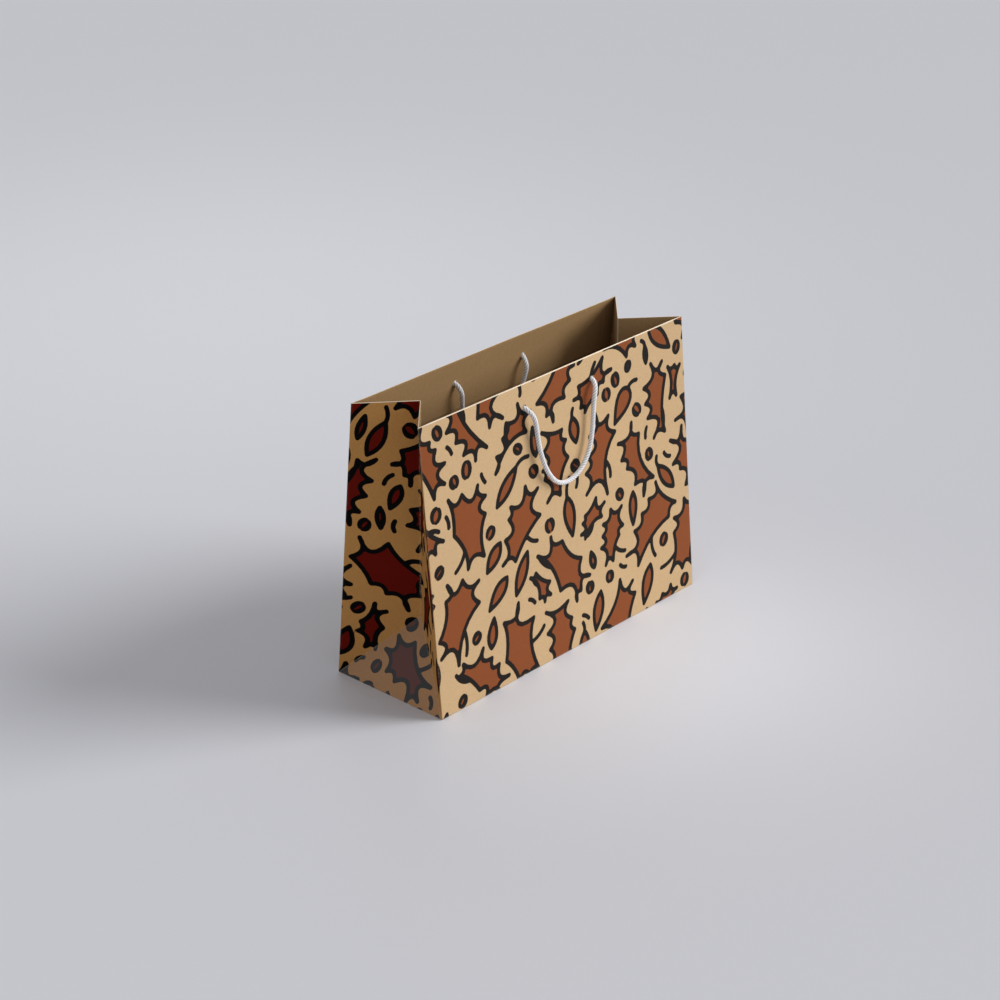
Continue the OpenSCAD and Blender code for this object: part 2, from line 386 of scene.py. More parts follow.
def sheet_piece(name, outer, inner, row_slots, materials, kept=None, values=None, mirrored=False):
    """Closed thin sheet between two skins, arrays of rows by columns of points.

    row_slots has the material of each row of cells on the outer skin; the inner skin is INSIDE and
    the rim EDGE. kept marks the cells that aren't cut out.
    """
    rows, columns = outer.shape[:2]
    count = rows * columns
    index = np.arange(count).reshape(rows, columns)
    cells = np.stack([index[:-1, :-1], index[:-1, 1:], index[1:, 1:], index[1:, :-1]], -1)
    if mirrored:
        cells = cells[..., ::-1]
    kept = np.ones(cells.shape[:2], bool) if kept is None else kept
    slots = np.broadcast_to(np.asarray(row_slots)[:, None], cells.shape[:2])[kept]
    front = cells[kept]
    back = front[:, ::-1] + count
    a, b = front.ravel(), np.roll(front, -1, 1).ravel()
    open_edge = ~np.isin(a * count + b, b * count + a)
    a, b = a[open_edge], b[open_edge]
    rim = np.stack([b, a, a + count, b + count], 1)
    faces = np.vstack([front, back, rim])
    points = np.vstack([outer.reshape(-1, 3), inner.reshape(-1, 3)])
    used = np.unique(faces)
    renumber = np.zeros(2 * count, int)
    renumber[used] = np.arange(len(used))
    face_slots = np.concatenate([slots, np.full(len(back), INSIDE), np.full(len(rim), EDGE)])
    both = {key: np.concatenate([v.ravel(), v.ravel()])[used] for key, v in (values or {}).items()}
    return make_piece(name, points[used], renumber[faces], materials, face_slots, both)


def from_crease(lengths):
    """Where points of a sheet lie, at these lengths from the middle of a crease's round outside:
    their distances from the sharp corner and their depths behind the sheet's face.
    """
    turn = np.clip(CREASE_TURN - lengths / CREASE_R, 0, None)
    flat = np.clip(lengths - CREASE_R * CREASE_TURN, 0, None)
    tangent = CREASE_R * math.tan(CREASE_TURN)
    return tangent - CREASE_R * np.sin(turn) + flat, CREASE_R * (1 - np.cos(turn))


CREASE_STEPS = np.linspace(0, CREASE_R * CREASE_TURN, 4)


# ---- the leaf print ---------------------------------------------------------------------------
# The print is laid out on the unfolded sheet: u runs round the bag from the front panel's left
# edge, v runs up from the base. It repeats once round the bag.

ROUND = 2 * (BAG_W + BAG_D)
PRINT_LOW, PRINT_HIGH = -96.0, 262.0
# Width of the dark strokes, and the cells of the grid that keeps the motifs apart
STROKE = 3.9
PRINT_CELL = 2.0
PRINT_SEED = 5
# How far a motif's ink may reach past the middles of its lines
STROKE_ROOM = 4.0
# Distance that stands for nothing near, for one motif and for the whole print
NO_STROKE = 99.0
NO_MOTIF = 6.0


def polar(angle, radius):
    return np.array([math.cos(angle), math.sin(angle)]) * radius


def arc(a, b, control, steps):
    """Points from a towards b, bent towards control. b itself is left to the next arc."""
    k = (np.arange(steps) / steps)[:, None]
    return (1 - k) ** 2 * a + 2 * k * (1 - k) * control + k ** 2 * b


def stalk(rng, start, way, length):
    """Bent stroke of this length, with half its width."""
    bend = rng.choice((-1, 1)) * rng.uniform(0.25, 0.6)
    end = start + polar(way + bend, length)
    line = arc(start, end, start + polar(way, length * 0.55), 6)
    return np.vstack([line, end]), STROKE / 2


# The points of a long leaf: degrees round it from its far end, reach in halves of its length
LEAF_TIPS = [
    (17, 1.16), (52, 0.86), (84, 0.66), (120, 0.74), (152, 1.0), (184, 0.92), (214, 1.06),
    (246, 0.72), (282, 0.64), (314, 0.84), (342, 1.2),
]


def lobed_leaf(rng, size):
    """Long leaf with uneven points, hollow bays between them and a stalk that leaves its widest bay."""
    tips = [(math.radians(a + rng.uniform(-8, 8)), r * rng.uniform(0.86, 1.12)) for a, r in LEAF_TIPS]
    first = rng.choice((1, 7))
    del tips[first:first + rng.choice((1, 2))]
    for _ in range(rng.choice((1, 1, 2)) + (size < 42) + (size < 34)):
        tips.pop(rng.randrange(1, len(tips) - 1))
    squeeze = rng.uniform(0.72, 0.96)
    points = [polar(a, r * size / 2) * [1, squeeze] for a, r in tips]
    chords = [np.linalg.norm(points[i] - points[i - 1]) for i in range(len(points))]
    widest = chords.index(max(chords))
    line = []
    for i, chord in enumerate(chords):
        a, b = points[i - 1], points[i]
        inward = np.array([a[1] - b[1], b[0] - a[0]]) / chord
        sag = rng.uniform(0.12, 0.34) if chord > 0.42 * size else rng.uniform(0.5, 1.1)
        line.append(arc(a, b, a + (b - a) * rng.uniform(0.36, 0.64) + inward * chord * sag, 6))
    outline = np.vstack(line)
    strokes = []
    if rng.random() < 0.85:
        start = line[widest][3]
        strokes.append(stalk(rng, start, math.atan2(start[1], start[0]), size * rng.uniform(0.24, 0.36)))
    return outline, True, strokes


def lens_leaf(rng, size):
    """Narrow leaf, pointed at both ends, often with a bent stalk."""
    half = size * rng.uniform(0.28, 0.46)
    a, b = np.array([-size / 2, 0]), np.array([size / 2, 0])
    shift = rng.uniform(-0.2, 0.2) * size
    outline = np.vstack([arc(a, b, np.array([shift, half]), 8), arc(b, a, np.array([shift, -half]), 8)])
    strokes = [stalk(rng, b, 0, size * rng.uniform(0.25, 0.5))] if rng.random() < 0.6 else []
    return outline, True, strokes


def drop_leaf(rng, size):
    """Leaf with a round end, a pointed end and a stalk."""
    k = np.arange(22) / 22 * 2 * math.pi
    half = size * rng.uniform(0.3, 0.4)
    outline = np.stack([np.cos(k) * size / 2, np.sin(k) * abs(np.sin(k / 2)) ** 1.2 * half], 1)
    return outline, True, [stalk(rng, np.array([-size / 2, 0]), math.pi, size * rng.uniform(0.25, 0.4))]


def split_seed(rng, size):
    """Oval seed between two thick strokes that leave its ends open."""
    half = size / 2 * rng.uniform(0.66, 0.84)
    k = np.arange(16) / 16 * 2 * math.pi
    outline = np.stack([np.cos(k) * size / 2, np.sin(k) * half], 1) * 0.9
    strokes = []
    for side in (0, math.pi):
        sweep = side + np.linspace(rng.uniform(0.2, 0.6), rng.uniform(2.5, 2.9), 9)
        line = np.stack([np.cos(sweep) * (size - STROKE) / 2, np.sin(sweep) * (half - STROKE / 2)], 1)
        thick = rng.uniform(0.2, 0.6) * np.sin(np.linspace(0, math.pi, 9) + rng.uniform(-0.4, 0.4))
        strokes.append((line, STROKE / 2 * (0.8 + np.clip(thick, 0, None))))
    return outline, False, strokes


def loose_stroke(rng, size):
    """Single bent stroke."""
    return None, False, [stalk(rng, np.array([-size / 2, 0]), 0, size)]


# Shape, sizes, tries and free room round it, the large ones first
MOTIFS = [
    (lobed_leaf, 57, 67, 1200, 0.5),
    (lobed_leaf, 44, 52, 4500, 0.6),
    (drop_leaf, 29, 36, 300, 0.8),
    (lens_leaf, 30, 38, 400, 0.8),
    (lobed_leaf, 35, 41, 4500, 0.7),
    (lens_leaf, 26, 34, 2500, 0.9),
    (split_seed, 17, 21, 300, 1.0),
    (lobed_leaf, 28, 33, 3000, 0.8),
    (lens_leaf, 20, 27, 5000, 0.9),
    (split_seed, 13, 16, 2500, 1.0),
    (lens_leaf, 14, 19, 4000, 1.0),
    (loose_stroke, 8, 12, 2500, 1.2),
]


def turned(points, angle):
    c, s = math.cos(angle), math.sin(angle)
    return points @ np.array([[c, s], [-s, c]])


def stroke_distance(points, line, half):
    """Distance from points to a line with round ends, less its half width; negative on it."""
    half = np.broadcast_to(half, len(line))
    a, way = line[:-1], np.diff(line, axis=0)
    k = ((points[:, None] - a) * way).sum(2) / np.maximum((way ** 2).sum(1), 1e-9)
    k = np.clip(k, 0, 1)
    gap = np.linalg.norm(points[:, None] - a - k[..., None] * way, axis=2)
    return (gap - half[:-1] - k * np.diff(half)).min(1)


def outline_distance(points, outline):
    """Distance from points to a closed outline, negative inside it."""
    a, b = outline, np.roll(outline, -1, 0)
    x, y = points[:, :1], points[:, 1:]
    rise = np.where(a[:, 1] == b[:, 1], 1e-9, b[:, 1] - a[:, 1])
    crossed = ((a[:, 1] > y) != (b[:, 1] > y)) & (x < (b[:, 0] - a[:, 0]) * (y - a[:, 1]) / rise + a[:, 0])
    gap = stroke_distance(points, np.vstack([outline, outline[:1]]), 0.0)
    return np.where(crossed.sum(1) % 2 == 1, -gap, gap)


def motif_fields(points, outline, closed, strokes):
    """How far each point is from the motif's dark ink and from its rust fill."""
    ink = np.full(len(points), NO_STROKE)
    fill = np.full(len(points), NO_STROKE)
    if outline is not None:
        edge = outline_distance(points, outline)
        if closed:
            ink, fill = abs(edge) - STROKE / 2, edge
        else:
            fill = edge
    for line, half in strokes:
        ink = np.minimum(ink, stroke_distance(points, line, half))
    return ink, fill


def any_used(used, points):
    """Whether a cell that holds one of the points is used. The cells repeat round the bag."""
    across, up = used.shape
    i = (points[:, 0] / PRINT_CELL).astype(int) % across
    j = np.clip(((points[:, 1] - PRINT_LOW) / PRINT_CELL).astype(int), 0, up - 1)
    return used[i, j].any()


def cells_near(centre, reach, up):
    """Columns and rows of the cells within reach of a place, and their middles as seen from it."""
    span = int(reach / PRINT_CELL) + 1
    i0, j0 = int(centre[0] / PRINT_CELL), int((centre[1] - PRINT_LOW) / PRINT_CELL)
    i, j = np.meshgrid(np.arange(i0 - span, i0 + span + 1), np.arange(j0 - span, j0 + span + 1))
    inside = (j >= 0) & (j < up)
    i, j = i[inside], j[inside]
    return i, j, np.stack([(i + 0.5) * PRINT_CELL, (j + 0.5) * PRINT_CELL + PRINT_LOW], 1) - centre


def scatter_motifs():
    """Places the motifs one by one where the cells of a coarse grid are still free."""
    rng = random.Random(PRINT_SEED)
    across, up = int(ROUND / PRINT_CELL), int((PRINT_HIGH - PRINT_LOW) / PRINT_CELL)
    used = np.zeros((across, up), bool)
    placed = []
    for shape, small, large, tries, room in MOTIFS:
        for _ in range(tries):
            size = rng.uniform(small, large)
            centre = np.array([rng.uniform(0, ROUND), rng.uniform(PRINT_LOW, PRINT_HIGH)])
            angle = rng.choice((-1, 1)) * math.pi / 2 + rng.uniform(-0.95, 0.95)
            seed = rng.random()
            core = [polar(way, size * share) for way in range(6) for share in (0, 0.16, 0.27)]
            if any_used(used, centre + core):
                continue
            outline, closed, strokes = shape(random.Random(seed), size)
            outline = None if outline is None else turned(outline, angle)
            strokes = [(turned(line, angle), half) for line, half in strokes]
            lines = [line for line, _ in strokes] + ([] if outline is None else [outline])
            if any_used(used, centre + np.vstack(lines)):
                continue
            reach = max(np.linalg.norm(line, axis=1).max() for line in lines) + STROKE_ROOM
            i, j, points = cells_near(centre, reach, up)
            distance = np.minimum(*motif_fields(points, outline, closed, strokes))
            if used[i % across, j][distance < room + PRINT_CELL / 2].any():
                continue
            near = distance < PRINT_CELL / 2
            used[i[near] % across, j[near]] = True
            placed.append((centre, reach, outline, closed, strokes))
    return placed


def print_fields(motifs, u, v):
    """Distances from points of the unfolded sheet to the nearest ink and the nearest fill."""
    ink = np.full(len(u), NO_MOTIF)
    fill = np.full(len(u), NO_MOTIF)
    for centre, reach, outline, closed, strokes in motifs:
        across = (u - centre[0] + ROUND / 2) % ROUND - ROUND / 2
        near = np.flatnonzero((abs(across) < reach) & (abs(v - centre[1]) < reach))
        if len(near):
            points = np.stack([across[near], v[near] - centre[1]], 1)
            here_ink, here_fill = motif_fields(points, outline, closed, strokes)
            ink[near] = np.minimum(ink[near], here_ink)
            fill[near] = np.minimum(fill[near], here_fill)
    return ink, fill


# ---- walls ------------------------------------------------------------------------------------


def wall_point(x, depth, up, back=False):
    """World point of a place on a wall: along it, behind its outer face, up from the foot crease.
    The back wall is the front one turned half round, so its x runs from right to left.
    """
    y = -BAG_D / 2 + depth * math.cos(LEAN) + up * math.sin(LEAN)
    z = -depth * math.sin(LEAN) + up * math.cos(LEAN)
    x, y, z = np.broadcast_arrays(x, y, z)
    return np.stack([-x, -y, z] if back else [x, y, z], -1)


# How far a wall bows out in its middle, and the depth of its waves
BOW_OUT = 0.55
WAVE_DEPTH = 0.16


def wall_bow(x, up, seed):
    """Depth of the gentle waves in a wall: still at its creases, freest in the upper middle."""
    across = np.cos(np.pi * x / BAG_W) ** 2
    rise = np.sin(np.pi * np.clip(up / SLANT, 0, 1) * 0.62) ** 1.5
    wave = np.sin(x / 31 + seed) * np.sin(up / 43 + 2 * seed) + 0.6 * np.sin(x / 17 - up / 29 + seed)
    return (WAVE_DEPTH * wave - BOW_OUT) * across * rise


# Phase of the waves in each wall: front, back
WAVE_SEEDS = (0.7, 2.0)


def wall_columns():
    """Places of a wall's columns of points along it, and their depths in the corner creases."""
    middle = BAG_W / 2 - from_crease(CREASE_STEPS[-1:])[0][0]
    inner = np.linspace(-middle, middle, int(2 * middle / GRID) + 1)[1:-1]
    away, depth = from_crease(CREASE_STEPS)
    left = -BAG_W / 2 + away
    return np.concatenate([left, inner, -left[::-1]]), np.concatenate([depth, 0 * inner, depth[::-1]])


def hole_cells(x, up, kept, points_x, points_up):
    """Cuts the cells round each rope hole and pulls the cut's edge onto the hole's circle."""
    for side in (-1, 1):
        away = np.hypot(x - side * HOLE_X, up - HOLE_Z)
        kept &= away > HOLE_R
        px, pu = points_x - side * HOLE_X, points_up - HOLE_Z
        reach = np.hypot(px, pu)
        near = reach < HOLE_R + 0.75 * GRID
        scale = np.where(near, HOLE_R / np.maximum(reach, 1e-6), 1)
        points_x = side * HOLE_X + px * scale
        points_up = HOLE_Z + pu * scale
    return kept, points_x, points_up


def mouth_thickness(x):
    """Thickness of a wall's turned-over mouth along it: it swells gently where the card begins."""
    bare = 3.0
    card = np.clip((BAG_W / 2 - abs(x) - bare) / (CARD_OFF_CORNER - bare), 0, 1)
    return THIN_MOUTH_T + (MOUTH_T - THIN_MOUTH_T) * card * card * (3 - 2 * card)


def wall_sheet(name, motifs, body, back, nodes):
    """One wall with its rounded foot, its rolled mouth and the turn-over inside it."""
    x, round_depth = wall_columns()
    mouth_t = mouth_thickness(x)
    foot, roll = column(FOOT_STEPS), column(ROLL_STEPS)
    climb = column(np.linspace(0, 1, int(SLANT / GRID) + 1))
    drop = column(np.linspace(0, 1, int(HEM_H / GRID) + 1))

    def rows(*parts):
        return np.concatenate([np.broadcast_to(part, (len(part), len(x))) for part in parts])

    # The rows run up the face, over the mouth and down inside. in_depth and in_up point into the
    # paper from each of them.
    top = SLANT - mouth_t / 2
    depth = rows(
        FOOT_R * (1 - np.cos(foot)), 0 * climb, mouth_t / 2 * (1 - np.cos(roll)), mouth_t + 0 * drop,
    )
    up = rows(
        FOOT_R * (1 - np.sin(foot)), FOOT_R + climb * (top - FOOT_R),
        top + mouth_t / 2 * np.sin(roll), top - drop * (top - SLANT + HEM_H),
    )
    in_depth = rows(np.cos(foot), 1 + 0 * climb, np.cos(roll), -1 + 0 * drop)
    in_up = rows(np.sin(foot), 0 * climb, -np.sin(roll), 0 * drop)
    x = np.broadcast_to(x, depth.shape).copy()
    flat_x = x.copy()

    # The turn-over stays off the corners: its outer ends are drawn in over its first rows
    first_hem = len(foot) + len(climb) + len(roll)
    share = column(np.clip(np.arange(len(drop)) / 5, 0, 1))
    free = np.clip((abs(x[first_hem:]) - HEM_DRAWN_FROM) / (BAG_W / 2 - HEM_DRAWN_FROM), 0, 1)
    x[first_hem:] -= np.sign(x[first_hem:]) * free * HEM_INSET * share

    kept = np.ones((depth.shape[0] - 1, depth.shape[1] - 1), bool)
    kept, x, up = hole_cells(cell_middles(x), cell_middles(up), kept, x, up)
    depth = depth + wall_bow(x, up, WAVE_SEEDS[back])
    depth[:first_hem] += round_depth
    thick = PAPER_T * np.clip((BAG_W / 2 + 0.3 - abs(flat_x)) / CORNER_TAPER, CORNER_THIN, 1)
    outer = wall_point(x, depth, up, back)
    inner = wall_point(x, depth + thick * in_depth, up + thick * in_up, back)
    u = flat_x + BAG_W / 2 + (BAG_W + BAG_D if back else 0)
    ink, fill = print_fields(motifs, u.ravel(), up.ravel())
    slots = np.full(len(depth) - 1, OUTSIDE)
    fold_start = len(foot) + len(climb) - 1
    # The rows over the mouth's fold get the pale edge colour: painted highlight
    slots[fold_start:fold_start + HIGHLIGHT_ROWS] = EDGE
    slots[fold_start + HIGHLIGHT_ROWS:] = INSIDE
    crease = np.exp(-np.minimum(BAG_W / 2 - abs(flat_x), up) / CREASE_WEAR)
    piece = sheet_piece(
        name, outer, inner, slots, [WALL_PRINT, KRAFT, PAPER_EDGE_AND_HIGHLIGHT], kept,
        {"ink": ink, "fill": fill, "crease": crease},
    )
    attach(piece, body)
    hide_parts(*nodes)


def mouth_card(name, body, back, node):
    """Card strip inside the turn-over, which follows the wall's waves."""
    x = np.arange(-BAG_W / 2 + CARD_OFF_CORNER, BAG_W / 2 - CARD_OFF_CORNER + 0.1, GRID)
    up = np.linspace(SLANT - HEM_H + 2, SLANT - PAPER_T - 0.1, int(HEM_H / GRID))
    x, up = np.meshgrid(x, up)
    kept = np.ones((x.shape[0] - 1, x.shape[1] - 1), bool)
    kept, x, up = hole_cells(cell_middles(x), cell_middles(up), kept, x, up)
    depth = PAPER_T + CLEAR + wall_bow(x, up, WAVE_SEEDS[back])
    outer = wall_point(x, depth, up, back)
    inner = wall_point(x, depth + CARD_T - 2 * CLEAR, up, back)
    piece = sheet_piece(name, outer, inner, np.zeros(len(x) - 1, int), [GREY_BOARD] * 3, kept)
    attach(piece, body)
    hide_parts(node)


# ---- gussets ----------------------------------------------------------------------------------

# Corners of the left gusset's front half: the ends of the corner crease and of the middle crease
CORNER_LOW = np.array([-BAG_W / 2, -BAG_D / 2, 0])
CORNER_HIGH = np.array([-BAG_W / 2, -MOUTH_D / 2, BAG_H])
TIP = np.array([-BAG_W / 2 + FOLD_IN, 0, FOLD_H])
CREASE_HIGH = np.array([-BAG_W / 2 + CREASE_IN, 0, BAG_H])


def blended(a, b, k):
    """Points or directions from a to b, at the shares k of the way."""
    return a + (b - a) * np.asarray(k)[..., None]


def half_point(s, t):
    """Point of the left gusset's front half: s from corner crease to middle crease, t upward."""
    low, high = blended(CORNER_LOW, TIP, s), blended(CORNER_HIGH, CREASE_HIGH, s)
    return low * (1 - t)[..., None] + high * t[..., None]


def half_across(t):
    """From the corner crease to the middle crease of the half, at the height t."""
    return blended(TIP - CORNER_LOW, CREASE_HIGH - CORNER_HIGH, t)


def unit(v):
    return v / np.linalg.norm(v, axis=-1, keepdims=True)


def half_frame(s, t):
    """Directions into the bag and up the sheet at a place on the half."""
    along = blended(CORNER_HIGH - CORNER_LOW, CREASE_HIGH - TIP, s)
    return unit(np.cross(half_across(t), along)), unit(along)


def gusset_sheet(name, motifs, u_start, u_way, flip, material, nodes):
    """Half of a gusset with its rolled mouth and turn-over. It is worked out as the left gusset's
    front half, and flip turns that into the half that is wanted.
    """
    climb = np.linspace(0, 1, int(SLANT / GRID) + 1)
    drop = np.linspace(0, 1, int(HEM_H / (2 * GRID)) + 1)
    radius = THIN_MOUTH_T / 2
    top = 1 - radius / SLANT
    first_hem = len(climb) + len(ROLL_STEPS)

    # Each row's height up the half and how far it has turned over the mouth
    t = np.concatenate([climb * top, np.full(len(ROLL_STEPS), top), top - drop * (top - 1 + HEM_H / SLANT)])
    turn = column(np.concatenate([0 * climb, ROLL_STEPS, np.full(len(drop), np.pi)]))
    narrow, wide = np.linalg.norm(half_across(np.linspace(0, 1, 2)), axis=1)
    row_width = column(narrow + (wide - narrow) * t)

    # Each row's places from the corner crease, round it, to the middle crease, a little closer
    # together than GRID
    away, round_depth = from_crease(np.append(CREASE_STEPS, CREASE_STEPS[-1] + 1))
    steps = int(FLAT_HALF / GRID * 1.15)
    first = away / row_width
    rest = first[:, -1:] + (1 - first[:, -1:]) * np.linspace(0, 1, steps + 1)[1:]
    s = np.hstack([first, rest])
    t = np.broadcast_to(column(t), s.shape)

    inward, upward = half_frame(s, t)
    depth = radius * (1 - np.cos(turn)) + np.concatenate([round_depth, np.zeros(steps)])
    lift = radius * np.sin(turn)[..., None]
    place = half_point(s, t) + inward * depth[..., None] + upward * lift
    rolled = inward * np.cos(turn)[..., None] - upward * np.sin(turn)[..., None]
    push = np.where(turn[..., None] > 0, rolled, inward)

    # Inside the bag the turn-over stays off the corner crease
    share = column(np.clip(np.arange(len(drop)) / 4, 0, 1))
    inset = share * HEM_INSET * np.clip(1 - s[first_hem:] * 2, 0, 1)
    place[first_hem:] += unit(half_across(t[first_hem:])) * inset[..., None]

    thick = PAPER_T * 0.9 * np.clip(s * row_width / CORNER_TAPER, CORNER_THIN, 1)
    outer = place * flip
    inner = (place + push * thick[..., None]) * flip
    u = u_start + u_way * FLAT_HALF * s
    v = (1 - t) * FLAT_TIP * s + t * SLANT
    ink, fill = print_fields(motifs, u.ravel(), v.ravel())
    slots = np.full(len(t) - 1, OUTSIDE)
    # The rows over the mouth's fold get the pale edge colour: painted highlight
    slots[len(climb) - 1:len(climb) - 1 + HIGHLIGHT_ROWS] = EDGE
    slots[len(climb) - 1 + HIGHLIGHT_ROWS:] = INSIDE
    crease = np.exp(-np.minimum(s, 1 - s) * row_width / CREASE_WEAR)
    piece = sheet_piece(
        name, outer, inner, slots, [material, KRAFT, PAPER_EDGE_AND_HIGHLIGHT],
        values={"ink": ink, "fill": fill, "crease": crease}, mirrored=bool(np.prod(flip) > 0),
    )
    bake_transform(piece)
    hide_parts(*nodes)


def add_gussets(motifs):
    """The four halves: which way each is flipped, and where on the print its corner crease lies."""
    halves = [
        ("left", "front", (1, 1, 1), ROUND, -1),
        ("left", "back", (1, -1, 1), 2 * BAG_W + BAG_D, 1),
        ("right", "front", (-1, 1, 1), BAG_W, 1),
        ("right", "back", (-1, -1, 1), BAG_W + BAG_D, -1),
    ]
    for side, end, signs, u_start, u_way in halves:
        gusset_sheet(
            f"{side}_{end}_gusset_sheet", motifs, u_start, u_way,
            flip=np.array(signs, float),
            material=LEFT_PRINT_PAINTED_SHADE if side == "left" else RIGHT_PRINT_PAINTED_SHADE,
            nodes=[f"{side}_gusset_{end}_half", f"{side}_hem_{end}_half"],
        )


# The base fold's foot: over this length it turns up from the ground, from this far inside its face
FOLD_FOOT = 1.5
FOLD_SINK = 0.5
FOLD_BELLY = 0.5


def base_fold_sheet(motifs, end, side, u_start):
    """Triangle folded up from the base at one end of the bag. side is 1 at the left end."""
    up_steps = np.linspace(FOLD_FOOT, FLAT_TIP, int(FLAT_TIP / GRID))
    along = column(np.concatenate([np.linspace(0, FOLD_FOOT, 4)[:3], up_steps]))
    half = np.maximum(BAG_D / 2 * (1 - along / FLAT_TIP), 0.05)
    y = half * np.linspace(-1, 1, int(BAG_D / GRID) + 1)
    along = np.broadcast_to(along, y.shape)
    slope = np.array([FOLD_IN, 0, FOLD_H]) / FLAT_TIP
    inward = np.array([FOLD_H, 0, -FOLD_IN]) / FLAT_TIP
    sink = FOLD_SINK * np.clip(1 - along / FOLD_FOOT, 0, 1) ** 2
    belly = FOLD_BELLY * np.sin(np.pi * along / FLAT_TIP) * (1 - (y / (half + 1e-6)) ** 2)
    place = [-BAG_W / 2, 0, 0] + slope * along[..., None] + inward * (sink - belly)[..., None]
    place[..., 1] = y
    place[..., 2] = np.maximum(place[..., 2], CLEAR)
    outer = place * [side, 1, 1]
    inner = (place + inward * PAPER_T) * [side, 1, 1]
    u = u_start - side * (y + BAG_D / 2)
    ink, fill = print_fields(motifs, u.ravel(), along.ravel())
    crease = np.exp(-np.minimum(half - abs(y), along) / CREASE_WEAR)
    piece = sheet_piece(
        f"{end}_base_fold_sheet", outer, inner, np.full(len(y) - 1, OUTSIDE),
        [FOLD_PRINT_PAINTED_SHADE, KRAFT, PAPER_EDGE_AND_HIGHLIGHT],
        values={"ink": ink, "fill": fill, "crease": crease}, mirrored=side > 0,
    )
    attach(piece, f"{end}_base_fold")
    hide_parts(f"{end}_base_fold")


# ---- base -------------------------------------------------------------------------------------

# Half the length and half the width of the flaps, and how far past the middle each reaches
BASE_END = BAG_W / 2 - 1.7
BASE_SIDE = BAG_D / 2 - 0.7
FLAP_LAP = 15.0


def bottom_flap_sheet(name, motifs, back, node):
    """Long flap of the base with the print on its underside. The front one laps over the back one."""
    x = np.linspace(-BASE_END, BASE_END, int(2 * BASE_END / GRID))
    y = np.linspace(-BASE_SIDE, FLAP_LAP, int((BASE_SIDE + FLAP_LAP) / GRID))
    x, y = np.meshgrid(x, y)
    lift = 0 if back else (PAPER_T + 0.03) * np.clip((y + FLAP_LAP + 3) / 2, 0, 1)
    under = np.stack([x, y, lift + 0 * x], -1)
    over = under + [0, 0, PAPER_T - CLEAR]
    if back:
        under, over = under * [-1, -1, 1], over * [-1, -1, 1]
    u = x + BAG_W / 2 + (BAG_W + BAG_D if back else 0)
    ink, fill = print_fields(motifs, u.ravel(), (-BAG_D / 2 - y).ravel())
    piece = sheet_piece(
        name, under, over, np.full(len(x) - 1, OUTSIDE), [WALL_PRINT, KRAFT, PAPER_EDGE_AND_HIGHLIGHT],
        values={"ink": ink, "fill": fill, "crease": 0 * x}, mirrored=True,
    )
    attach(piece, "base")
    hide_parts(node)


def dress_cad_nodes():
    """The parts whose plain shape is right keep it and get their material."""
    for node, piece in frame["nodes"].items():
        if piece.hide_render:
            continue
        if "card" in node or "board" in node:
            material, slot = GREY_BOARD, "grey_board"
        else:
            material, slot = KRAFT, "kraft_lining"
        piece.data.materials.clear()
        piece.data.materials.append(material)


# ---- ropes ------------------------------------------------------------------------------------

# Half of each loop, from its hole to its lowest point: distance from the middle, distance out of
# the wall's face (front) or in from the swing axis (back), distance below the hole or the axis
FRONT_ROUTE = [
    (41.1, 0.2, 0.45), (40.5, 2.7, 1.75), (39.5, 4.7, 3.75), (38.3, 5.95, 6.3), (37.2, 6.5, 9.2),
    (36.1, 6.6, 13), (35.2, 6.4, 17.5), (34.2, 6.1, 25), (32.9, 6.0, 34), (31.4, 6.1, 41),
    (28.4, 6.2, 51), (23.5, 6.0, 60.5), (16.8, 5.4, 68.5), (9.0, 4.6, 73.5), (0, 4.2, 75.3),
]
BACK_ROUTE = [
    (40.0, -0.95, 3.75), (39.6, 0.3, 6.3), (39.2, 0.7, 9.2), (38.6, 0.3, 13), (37.8, -0.4, 17.5),
    (36.4, -1.3, 25), (34.4, -1.7, 34), (32.0, -1.7, 41), (28.4, -1.5, 51), (23.5, -1.3, 60.5),
    (16.8, -1.2, 68.5), (9.0, -1.0, 73.5), (0, -1.0, 75.3),
]
STRANDS = 4
TWIST_LENGTH = 10.0
# Radius in the grooves between the strands, as a share of the rope's
GROOVE = 0.8
# Lengths over which a rope's ends round off, and over which a knot's tail frays
END_ROUND = 0.8
FRAY_LENGTH = 5.0
# Stretch of the loop below its swing axis: the front handle works out these two places on it but uses them
# for nothing, so the loop doesn't bend
BEND_FROM, BEND_TO = 1.0, 13.0


def smooth_line(points, step=0.3):
    """Evenly spaced points on the smooth curve through the given ones."""
    points = np.asarray(points, float)
    ends = np.vstack([2 * points[0] - points[1], points, 2 * points[-1] - points[-2]])
    k = np.linspace(0, 1, 24, endpoint=False)[:, None]
    pieces = []
    for p0, p1, p2, p3 in zip(ends, ends[1:], ends[2:], ends[3:]):
        pieces.append(0.5 * (
            2 * p1 + (p2 - p0) * k + (2 * p0 - 5 * p1 + 4 * p2 - p3) * k ** 2
            + (3 * p1 - p0 - 3 * p2 + p3) * k ** 3
        ))
    line = np.vstack(pieces + [points[-1:]])
    gone = np.concatenate([[0], np.cumsum(np.linalg.norm(np.diff(line, axis=0), axis=1))])
    even = np.linspace(0, gone[-1], int(gone[-1] / step) + 1)
    return np.stack([np.interp(even, gone, line[:, i]) for i in range(3)], 1), even


